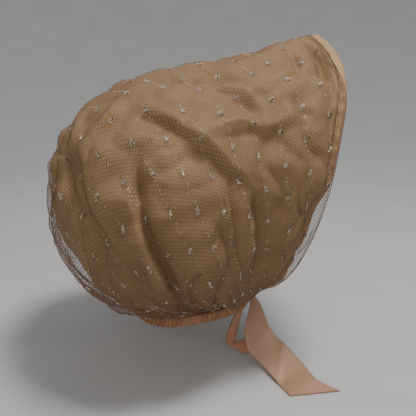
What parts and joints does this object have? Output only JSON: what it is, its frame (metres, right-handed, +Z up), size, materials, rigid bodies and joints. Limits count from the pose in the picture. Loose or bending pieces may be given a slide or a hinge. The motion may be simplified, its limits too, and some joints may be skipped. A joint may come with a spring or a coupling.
{
  "type": "hair bonnet",
  "caption": "Puffed satin hair bonnet under a net cover, with a front hem band and a gathered neck casing closed by a ribbon tie.",
  "frame": {"origin": "inside of the crown straight above the middle of the neck, where the head carries the bonnet", "axes": "+Z up through the crown; the face opening looks along -Y; +X is the wearer's left"},
  "size_m": [0.2829, 0.3124, 0.3633],
  "materials": {
    "satin": "soft satin, taupe",
    "net": "fine hexagonal net with metallic thread dots",
    "hem_satin": "folded satin band, light tan",
    "casing_satin": "gathered satin, coral brown",
    "ribbon": "satin ribbon, dusty peach"
  },
  "bodies": {
    "root": {"satin_crown": "satin", "net_cover": "net", "front_hem": "hem_satin", "neck_casing": "casing_satin", "neck_ribbon": "ribbon"}
  },
  "joints": []
}
